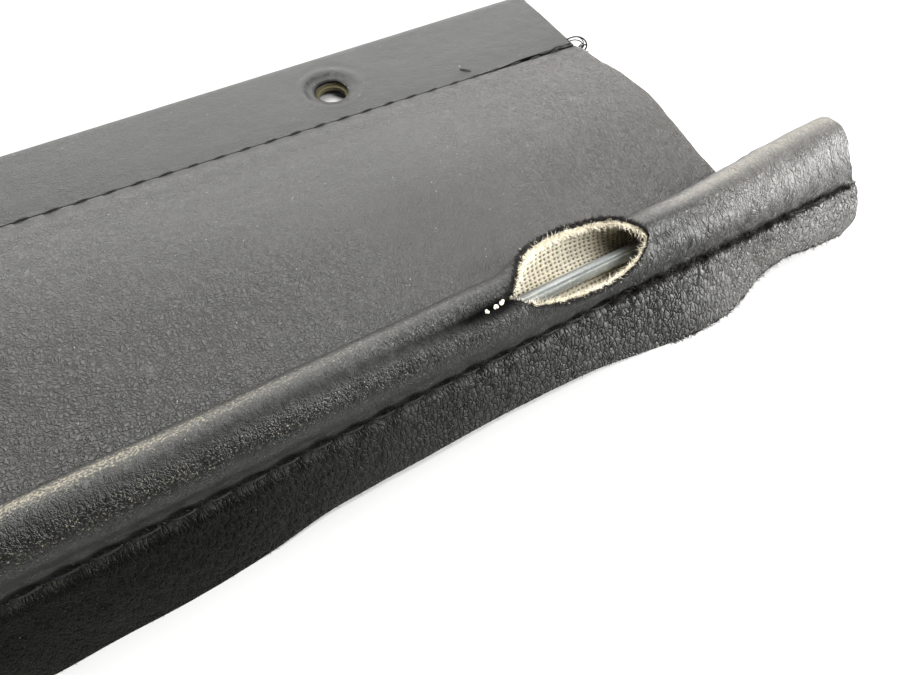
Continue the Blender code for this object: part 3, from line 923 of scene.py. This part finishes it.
def welt_places():
    """The strip's points before its relief, and the fields that shape and colour it."""
    quads, (x, part, share, length, lip_front, lip_back, in_front) = welt_grid()
    on_lip, on_tube_part, on_back = part == 0, part == 1, part == 2
    foot = np.stack([through(FOOT, x, 1), through(FOOT, x, 2)], axis=1)
    back_top = flange_point(0.8, STACK)
    back_foot = np.stack([foot[:, 0] + 3.3, np.maximum(foot[:, 1] - 0.4, 0.02)], axis=1)
    ripple = 0.55 * noise(x / 17, 0.2, 81) + 0.25 * noise(x / 6, 0.7, 82)
    ripple *= 0.5 + 0.9 * step(60, 110, x)
    lip = lip_curve(share, foot, np.broadcast_to(LOWER_SEAM, foot.shape), 0.5 + ripple)
    back = lip_curve(1 - share, back_foot, np.broadcast_to(back_top, foot.shape),
                     0.1 + ripple * 0.8)
    place = np.where(on_lip[:, None], lip, np.where(on_back[:, None], back, tube.at(length)))
    s = np.where(on_lip, (share - 1) * FRONT_LIP,
                 np.where(on_back, tube.length + share * BACK_LIP, length))
    angle = np.degrees(np.arctan2(place[:, 1] - TUBE_CENTRE[1], place[:, 0] - TUBE_CENTRE[0]))
    angle = np.where(angle < -135, angle + 360, angle)

    # The end of the strip is cut at a slant and its lips run a little longer than the tube
    right = step(WELT_END - 22, WELT_END, x)
    x_cut = x + right * through(END_CUT, s)
    edge = step(WELT_END - 4, WELT_END, np.abs(x)) * np.sign(x)
    x_cut += edge * (0.35 * noise(s / 4, 3.1, 83) + 0.15 * noise(s / 1.2, 5.1, 84))
    points = np.column_stack((x_cut, place))

    seam_distance = np.where(on_lip, -s, np.where(on_tube_part & in_front, s, 99))
    along = np.clip((x - TEAR_START) / (TEAR_END - TEAR_START), 0, 1)
    front_reach = np.where(on_tube_part & in_front, lip_front - length, 99)
    back_reach = np.where(on_tube_part & ~in_front, length - lip_back, 99)
    in_tear = (along > 0.01) & (along < 0.99)
    return quads, points, SimpleNamespace(
        x=x, s=s, angle=angle, on_tube_part=on_tube_part, seam_distance=seam_distance,
        stitch_wave=np.cos(2 * pi * (x - 1.0) / STITCH_PITCH),
        groove=bell(seam_distance, 0.0, 0.85) * (1 - 0.7 * step(WELT_END - 3, WELT_END, x)),
        at_right=step(84, 96, x), dent_angle=np.interp(x, (24, 42.6, TEAR_START), (90, 97, 102)),
        open_share=np.sin(pi * along) ** 0.8, front_reach=front_reach, back_reach=back_reach,
        edges={"front": (front_reach < 1e-6) & in_tear, "back": (back_reach < 1e-6) & in_tear,
               "foot": on_lip & (share == 0), "seam": on_tube_part & in_front & (share == 0)})


def welt_relief(w):
    """How far each point stands out from the smooth strip."""
    x, s, angle, on_tube_part, seam_distance = w.x, w.s, w.angle, w.on_tube_part, w.seam_distance
    # Soft, uneven tube
    lift = 0.20 * noise(x / 22, s / 11, 85) + 0.10 * noise(x / 7, s / 6, 86)
    lift -= 0.42 * step(24, -30, x) * on_tube_part * step(1, 5, s)
    # Dent that runs from the left into the tear's tip, with a raised fold beside it
    dent = step(22, 56, x) * step(TEAR_START + 7, TEAR_START, x) * on_tube_part
    lift -= 1.25 * dent * bell(angle, w.dent_angle, 11)
    lift += dent * (0.35 * bell(angle, w.dent_angle - 30, 18)
                    + 0.30 * bell(angle, w.dent_angle + 26, 14))
    # Ridge from the right tip
    after = step(TEAR_END - 3, TEAR_END, x) * step(TEAR_END + 34, TEAR_END + 6, x) * on_tube_part
    lift += 0.45 * after * bell(angle, 88, 12)
    lift -= 0.55 * after * bell(angle, 112, 9) * step(TEAR_END + 12, TEAR_END, x)
    # The seam pulls the strip in, most of all at each needle hole
    lift -= w.groove * (0.62 + 0.28 * w.stitch_wave) * (1 - 0.85 * w.at_right)
    lift += 0.30 * w.at_right * bell(seam_distance, 0.0, 1.8)
    lift += 0.30 * bell(seam_distance, 2.4, 1.3) * (1 - 0.5 * w.stitch_wave)
    # The tube spreads upwards towards its open end
    end = step(WELT_END - 10, WELT_END, x) * on_tube_part
    swell = 0.8 * step(98, 110, x) + 1.4 * step(107, 121, x) + 0.6 * step(120, 138, x)
    lift += swell * bell(angle, 62, 48) * on_tube_part + 0.7 * end * bell(seam_distance, 0, 2.5)
    # Wrinkles square to the seam, strongest where the strip bends at the right
    strong = 0.35 + 1.0 * step(82, 100, x) + 0.7 * bell(x, 45, 16)
    slant = (x + 0.35 * s) / 1.9 + 0.8 * noise(x / 6, s / 5, 87)
    lift += 0.13 * strong * noise(slant, s / 6.5, 88) * bell(seam_distance, 3.5, 4.2)
    slant_wide = (x - 0.5 * s) / 4.6 + 0.7 * noise(x / 9, s / 8, 89)
    lift += 0.22 * strong * noise(slant_wide, s / 14, 90) * bell(seam_distance, 5.0, 5.5)
    crease = np.abs(noise((x + 0.6 * s) / 5.2, (x - 1.4 * s) / 17, 91))
    lift -= 0.22 * bell(crease, 0, 0.12) * w.at_right * step(-2, 4, s) * on_tube_part
    # Raised back lip and slightly turned front lip of the tear
    lift += w.open_share * (LIP_FLARE * bell(w.back_reach, 0, 4.6) + 0.55 * bell(w.front_reach, 0, 2.2)
                            + 0.25 * noise(x / 3.0, 0.5, 92) * bell(w.back_reach, 0, 2.5))
    return lift


def welt_masks(w):
    """Where the strip is grained, worn, dusty, dull and dark, with a painted highlight on the crest and
    painted shade in the seam's groove, on the left lips and on the knit inside the tube.
    """
    x, s, angle, on_tube_part, at_right = w.x, w.s, w.angle, w.on_tube_part, w.at_right
    on_lips = 1 - on_tube_part
    crest = bell(angle, 60, 18) * on_tube_part
    upper_tube = step(60, 80, x) * step(170, 130, angle) * on_tube_part
    # Darker band along the dent, darkest at the tear's tip
    band = step(-50, 25, x) * step(62, 56, x) * bell(angle, w.dent_angle + 9, 14) * on_tube_part
    band *= 0.8 + 0.3 * noise(x / 1.6, s / 1.2, 96)
    near_tip = bell(x, 56, 6.5) * bell(angle, 104, 15) * on_tube_part
    # Towards the left the lips are darker and duller: partly soiling, partly painted shade
    dull_shaded_lip = step(-0.2, -1.8, s) * on_lips * step(76, 0, x + 5 * noise(x / 3, s / 2, 95))
    return {
        "grain": 0.55 + 0.45 * step(-1, -4, s) + (0.60 - 0.30 * on_tube_part) * step(70, 92, x)
                 - 0.20 * crest - 0.30 * upper_tube + 0.35 * step(40, 60, x) * on_lips
                 - 0.25 * step(50, 20, x) * on_tube_part,
        "gloss_and_light": 1 - 0.93 * dull_shaded_lip,
        "shine": step(70, 30, x) * on_tube_part,
        # Dust towards the right end; on the tube's crest it is also a painted highlight
        "dust_and_highlight": 0.05 * step(56, 80, x) + 0.31 * step(88, 115, x) + 0.04 * step(125, 138, x)
                + 0.60 * crest * step(84, 100, x) + 0.15 * crest * step(-60, 0, x),
        # Strength of the painted shade in the grain's valleys
        "valley_shade_strength": (0.15 + 0.85 * step(15, 55, x) * (1 - 0.5 * crest) - 0.25 * step(92, 118, x))
                * (1 - 0.6 * upper_tube),
        "wear": np.clip(crest * (0.25 + 0.75 * step(60, -40, x)) + 0.35 * bell(s, -FRONT_LIP, 0.6)
                        + 0.40 * step(84, 110, x) * crest
                        + 0.28 * step(60, 0, x) * bell(angle, 135, 25) * on_tube_part
                        + 0.35 * bell(x, 120, 5) * bell(s, -10, 4), 0, 1),
        "drawn": np.clip(step(60, 96, x) + 0.5 * on_tube_part + 0.9 * step(-50, 10, x) * on_lips,
                         0, 1),
        # Darker band along the dent and black raw edges of the tear; painted shade in the lower seam's
        # groove, less at the right
        "dark": np.clip(0.95 * near_tip + 0.60 * band
                        + 0.95 * w.open_share * bell(w.back_reach, 0, 1.3)
                        + 0.9 * w.open_share * bell(w.front_reach, 0, 0.75)
                        + 0.8 * w.groove * (1 - 0.35 * at_right * (1 + w.stitch_wave)), 0, 1),
        # Painted shade on the knit far inside the tube, strongest below the tear's right end
        "knit_shade": np.clip(0.45 * step(74, 86, x) * on_tube_part * (x < TEAR_END + 2)
                        * step(20, -15, angle)
                        + 0.25 * step(-70, -20, -angle) * on_tube_part, 0, 1),
    }


def make_welt():
    """The welt strip; returns the points and normals along its lips, its foot and its seam."""
    quads, points, w = welt_places()
    points = points + vertex_normals(points, quads) * welt_relief(w)[:, None]
    points[:, 2] = np.maximum(points[:, 2], 0.02)
    face, backing, normals = leathercloth("welt_face_sheet", "welt_backing_sheet", points, quads,
                                          np.column_stack((w.x, w.s)), welt_masks(w))
    for piece in (face, backing):
        bend_with_flange(piece)
    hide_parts("welt_tube_face", "front_lip_face", "back_lip_face")
    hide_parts("welt_tube_backing", "front_lip_backing", "back_lip_backing")

    lips = {}
    for key, chosen in w.edges.items():
        order = np.flatnonzero(chosen)
        order = order[np.argsort(w.x[order])]
        lips[key] = (points[order], normals[order])
    return lips


# ---------------------------------------------------------------- rod

def make_rod():
    """Drawn steel core with a flat along its front and a rolled groove beside it."""
    turns = np.arange(72) * 2 * pi / 72
    radius = ROD_RADIUS * (1 - 0.12 * bell(np.degrees(turns), 150, 34)
                           - 0.20 * bell(np.degrees(turns), 104, 7))
    xs = np.concatenate(([-ROD_END], np.linspace(-ROD_END + 0.3, ROD_END - 0.3, 120), [ROD_END]))
    points = []
    for x in xs:
        shrink = 0.85 if abs(x) == ROD_END else 1.0
        wobble = np.array((0.06 * sin(x / 17), 0.05 * sin(x / 11 + 1)))
        ring = ROD_CENTRE + wobble + (radius * shrink)[:, None] * np.stack(
            [np.cos(turns), np.sin(turns)], axis=1)
        points.append(np.column_stack((np.full(len(turns), x), ring)))
    made = make_mesh("core_rod_drawn", np.concatenate(points), ring_faces(len(xs), len(turns)),
                     steel, 40)
    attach(made, "rod")
    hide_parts("core_rod")


# ---------------------------------------------------------------- sewing

TWIST_PITCH = 1.3


def twisted(path, radius):
    """Two plies wound round a path."""
    along = np.gradient(path, axis=0)
    along /= np.linalg.norm(along, axis=1)[:, None]
    first = np.cross(along, (0.0, 0.3, 0.95))
    first /= np.linalg.norm(first, axis=1)[:, None]
    second = np.cross(along, first)
    lengths = np.concatenate(([0], np.cumsum(np.linalg.norm(np.diff(path, axis=0), axis=1))))
    turn = 2 * pi * lengths / TWIST_PITCH
    plies = []
    for shift in (0.0, pi):
        offset = (np.cos(turn + shift)[:, None] * first + np.sin(turn + shift)[:, None] * second)
        plies.append(path + offset * radius * 0.5)
    return plies


def stitch_paths(starts, ends, up, rise, sink, rng, gauge):
    """One short arched stitch between each pair of needle holes."""
    t = np.linspace(0, 1, 11)[:, None]
    paths = []
    for start, end in zip(starts, ends):
        arch = np.clip(np.sin(pi * t), 0, 1) ** 0.35
        path = start + (end - start) * t + up * (rise * arch - sink * (1 - arch))
        path = path + rng.normal(0, 0.03, 3)
        paths += twisted(path, gauge)
    return paths


def make_seams(lips):
    """The stitches of both seams, above and below, and the back-tacks of the lower one."""
    rng = np.random.default_rng(5)
    # Upper seam: slanted stitches across the groove between panel and hem
    centres = np.arange(-PANEL_END + 3.0, PANEL_END - 1.5, STITCH_PITCH)
    starts, ends = [], []
    for x in centres:
        length = 1.85 + rng.normal(0, 0.12)
        for sign, out in ((-1, starts), (1, ends)):
            at = x + sign * length
            y, z = hem_point(hem_width_at(at), 0.0)
            out.append(np.array((at, y + sign * 0.26, z)))
    up = np.array((0.0, 0.05, 1.0))
    paths = stitch_paths(starts, ends, up, 0.16, 0.7, rng, 0.18)
    made = sweep("upper_seam_stitches", paths, [0.16] * len(paths), thread)
    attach(made, "panel")
    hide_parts("upper_needle_thread")

    starts = [p + (0, 0, -2.6) for p in starts]
    ends = [p + (0, 0, -2.6) for p in ends]
    paths = stitch_paths(starts, ends, -up, 0.0, 0.7, rng, 0.2)
    made = sweep("upper_seam_underthread", paths, [0.15] * len(paths), thread)
    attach(made, "panel")
    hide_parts("upper_bobbin_thread")

    # Lower seam: the stitches lie in the groove on the flange's face
    seam, _ = lips["seam"]
    for name, node, depth, flip in (("lower_seam_stitches", "lower_needle_thread", 0.0, 1),
                                    ("lower_seam_underthread", "lower_bobbin_thread", STACK, -1)):
        starts, ends = [], []
        for x in np.arange(-WELT_END + 3.5, WELT_END - 17, STITCH_PITCH):
            half = 2.3 + rng.normal(0, 0.15)
            for sign, out in ((-1, starts), (1, ends)):
                at = x + sign * half
                if depth:
                    y, z = flange_point(1.6 - sign * 0.25, depth + 0.1)
                else:
                    y, z = (np.interp(at, seam[:, 0], seam[:, k]) for k in (1, 2))
                    y, z = y - 0.12, z - sign * 0.25
                out.append(np.array((at, y, z)))
        out_of = np.array((0.0, -0.85, 0.5)) * flip
        paths = stitch_paths(starts, ends, out_of, 0.22, 0.60, rng, 0.22)
        made = sweep(name, paths, [0.16] * len(paths), thread)
        bend_with_flange(made)
        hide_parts(node)

    # Back-tacks: several passes of thread over each other at both ends of the lower seam
    for side, sign in (("left", -1), ("right", 1)):
        outer = sign * (WELT_END - 3)
        paths = []
        for k in range(6):
            t = np.linspace(0, 1, 34)
            at = outer - sign * (13.5 - 1.5 * rng.random()) * t
            y = np.interp(at, seam[:, 0], seam[:, 1]) - 0.25 + 0.18 * np.sin(9 * t + k)
            z = np.interp(at, seam[:, 0], seam[:, 2]) + 0.35 * np.sin(7 * t + 1.7 * k)
            y -= 0.30 * np.abs(np.sin(4 * pi * t + k)) + 0.05
            paths += twisted(np.stack([at, y, z + 0.1], axis=1), 0.26)
        made = sweep("back_tack_knot_" + side, paths, [0.20] * len(paths), thread)
        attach(made, "welt")
        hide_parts("back_tack_" + side)


def make_tail():
    """The upper needle thread's loose end: it arches out past the seam, loops round and hangs."""
    base = np.array((PANEL_END - 1.0, *hem_point(hem_width_at(PANEL_END) - 0.6, -0.2)))
    t = np.linspace(0, 1, 24)
    paths = []
    for size, shift, sideways in ((1.0, 0.0, 0.8), (0.72, 0.5, 0.2), (0.88, -0.4, 1.2)):
        arch = np.stack([7.0 * np.sin(t * pi / 2) - 0.6, sideways + 0.3 * np.sin(5 * t + shift),
                         4.4 * np.cos(t * pi / 2) - 3.4], axis=1)
        turn = 2 * pi * 1.4 * t[1:]
        loop = arch[-1] + np.stack([0.95 * (np.cos(turn) - 1) + 0.6 * t[1:], 0.5 * t[1:],
                                    -0.95 * np.sin(turn) - 0.3 * t[1:]], axis=1)
        hanging = loop[-1] + t[1:, None] * (3.0 + shift, 0.2, -1.6)
        paths.append(base + size * np.concatenate((arch, loop, hanging)))
    back = np.stack([-9.0 * t, 0.25 * np.sin(7 * t), -0.35 * np.sin(9 * t)], axis=1)
    paths.append(base + (0.4, 0.3, 0.0) + back)
    made = sweep("upper_seam_tail", paths, [0.19, 0.14, 0.12, 0.22], thread)
    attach(made, "panel")
    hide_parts("upper_thread_tail")


# ---------------------------------------------------------------- fibres

def same_way(x, y, z, points):
    """One direction for every point."""
    return np.broadcast_to((x, y, z), points.shape)


def tufts(name, roots, directions, count, length, radius, material, body, seed, spread):
    """Short curled fibres that stand on a raw edge."""
    rng = np.random.default_rng(seed)
    paths, radii = [], []
    t = np.linspace(0, 1, 5)[:, None]
    for _ in range(count):
        i = rng.integers(0, len(roots) - 1)
        root = roots[i] + (roots[i + 1] - roots[i]) * rng.random()
        way = directions[i] + rng.normal(0, spread, 3)
        way /= np.linalg.norm(way)
        size = length * rng.uniform(0.35, 1.0)
        bend = rng.normal(0, 0.35, 3) * size
        path = root + way * size * t + bend * t ** 2
        path[:, 2] = np.maximum(path[:, 2], 0.08)
        paths.append(path)
        radii.append(radius * np.array((1.0, 0.9, 0.8, 0.6, 0.3)))
    made = sweep(name, paths, radii, material, sides=3)
    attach(made, body)


def make_fibres(lips, panel):
    """Knit fuzz and vinyl fray along the tear, the raw edges and the lower seam."""
    points, normals = lips["back"]
    inward = np.stack([np.zeros(len(points)), -normals[:, 2], normals[:, 1]], axis=1)
    tufts("tear_back_knit_fuzz", points - normals * 1.05, inward * 0.30 - normals * 0.45,
          2300, 1.15, 0.05, cream_fibre, "welt", 101, 0.6)
    tufts("tear_back_vinyl_fray", points - normals * 0.2, normals * 0.3 - inward * 0.1,
          3200, 0.75, 0.085, black_fibre, "welt", 102, 0.7)
    points, normals = lips["front"]
    tufts("tear_front_knit_fuzz", points - normals * 0.8, normals * 0.3 + (0.0, 0.35, 0.25),
          1300, 1.0, 0.045, cream_fibre, "welt", 103, 0.7)
    tufts("tear_front_vinyl_fray", points - normals * 0.2, normals * 0.2 + (0.0, 0.2, 0.3),
          1300, 0.60, 0.06, black_fibre, "welt", 104, 0.7)
    points, normals = lips["foot"]
    tufts("flange_edge_fray", points - normals * 0.5, same_way(0.0, -0.5, -0.1, points),
          900, 0.7, 0.04, black_fibre, "flange", 105, 0.5)
    worn = points[points[:, 0] > 92]
    tufts("flange_end_fray", worn, same_way(0.1, -0.5, 0.1, worn),
          500, 0.8, 0.06, black_fibre, "flange", 109, 0.8)

    points, _ = lips["seam"]
    tufts("lower_seam_fluff", points + (0.0, -0.1, 0.05), same_way(0.0, -0.75, 0.45, points),
          2600, 0.75, 0.055, black_fibre, "welt", 107, 0.9)
    at_holes = points[np.abs(np.cos(pi * (points[:, 0] - 3.7) / STITCH_PITCH)) > 0.93]
    at_holes = at_holes[at_holes[:, 0] > 80]
    tufts("lower_seam_knots", at_holes + (0.0, -0.25, 0.15), same_way(0.0, -0.6, 0.4, at_holes),
          1700, 1.5, 0.10, black_fibre, "welt", 108, 1.2)

    points, normals, columns = panel
    # The first few millimetres are sewn under the welt
    last_row = slice(6 - columns, None)
    edge = points[last_row]
    tufts("panel_end_fray", edge - normals[last_row] * 0.8, same_way(1.0, 0.0, 0.0, edge),
          420, 0.6, 0.03, cream_fibre, "panel", 106, 0.6)


def make_pinholes():
    """Four small holes in the dent left of the tear, with knit showing through."""
    rng = np.random.default_rng(9)
    t = np.linspace(0, 1, 7)[:, None]
    paths, radii = [], []
    for x, angle, radius in ((54.6, 107, 0.42), (56.4, 104, 0.50), (57.5, 102, 0.44),
                             (57.9, 99, 0.30)):
        y, z = on_tube(angle, TUBE_RADIUS - 0.72)
        for _ in range(5):
            centre = np.array((x, y, z)) + rng.normal(0, 0.09, 3)
            way = np.array((rng.normal(0, 0.3), -0.2, 0.5))
            paths.append(centre + way * (t - 0.5) * 0.7)
            radii.append(radius * np.sin(pi * (0.12 + 0.76 * t[:, 0])) * 0.7)
    made = sweep("tear_pinhole_knit", paths, radii, cream_fibre, sides=7)
    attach(made, "welt")


# ---------------------------------------------------------------- stage, light and camera

def area_light(name, place, target, size, power):
    """A white rectangular lamp at a place, turned to a target; lengths in metres."""
    light = bpy.data.lights.new(name, 'AREA')
    light.shape = 'RECTANGLE'
    light.size, light.size_y = size
    light.energy = power
    light.color = (1.0, 1.0, 1.0)
    made = bpy.data.objects.new(name, light)
    made.location = place
    made.rotation_euler = (Vector(target) - Vector(place)).to_track_quat('-Z', 'Y').to_euler()
    bpy.context.scene.collection.objects.link(made)


def make_stage():
    """Grey floor, faint surrounding light and four soft lamps; the brightest is behind."""
    steps = np.linspace(-1600, 1600, 33)
    x, y, quads = grid(steps, steps)
    floor = make_mesh("floor", np.column_stack((x, y, 0 * x)), quads.tolist(), floor_material(), 30)

    world = bpy.data.worlds.new("studio")
    world.use_nodes = True
    background = world.node_tree.nodes["Background"]
    background.inputs["Color"].default_value = (1.0, 1.0, 1.0, 1.0)
    background.inputs["Strength"].default_value = 0.12
    bpy.context.scene.world = world

    area_light("window_back", (0.10, 0.75, 0.26), (0.0, 0.0, 0.0), (1.7, 0.42), 12.6)
    area_light("overhead", (0.05, 0.26, 0.80), (0.0, 0.0, 0.0), (0.7, 0.5), 11.0)
    area_light("front", (0.34, -0.36, 0.70), (0.07, -0.02, 0.0), (0.30, 0.30), 6.4)
    area_light("right", (0.40, -0.22, 0.12), (0.12, -0.04, 0.01), (0.24, 0.20), 3.2)
    bpy.context.scene.view_settings.view_transform = 'Standard'


# Place in millimetres and lens as solved from the strip's parallel seams and folds
CAMERA_PLACE = (15.44, -77.10, 113.84)
CAMERA_AZIMUTH = radians(-38.77)
CAMERA_ELEVATION = radians(61.24)
CAMERA_ROLL = radians(9.72)
CAMERA_LENS = 27.04


def make_camera():
    """The photograph's view."""
    camera = bpy.data.cameras.new("camera")
    camera.lens = CAMERA_LENS
    camera.sensor_width = 36.0
    camera.clip_start = 0.005
    made = bpy.data.objects.new("camera", camera)
    a, e, roll = CAMERA_AZIMUTH, CAMERA_ELEVATION, CAMERA_ROLL
    back = Vector((sin(a) * cos(e), -cos(a) * cos(e), sin(e)))
    level = Vector((cos(a), sin(a), 0.0))
    upright = back.cross(level)
    right = level * cos(roll) + upright * sin(roll)
    up = back.cross(right)
    turn = Matrix((right, up, back)).transposed().to_4x4()
    made.matrix_world = Matrix.Translation(Vector(CAMERA_PLACE) * MM) @ turn
    bpy.context.scene.collection.objects.link(made)
    bpy.context.scene.camera = made


make_camera()
make_stage()
panel_parts = make_panel()
make_hem()
make_board()
make_nick()
welt_lips = make_welt()
make_rod()
make_seams(welt_lips)
make_tail()
make_pinholes()
make_fibres(welt_lips, panel_parts)
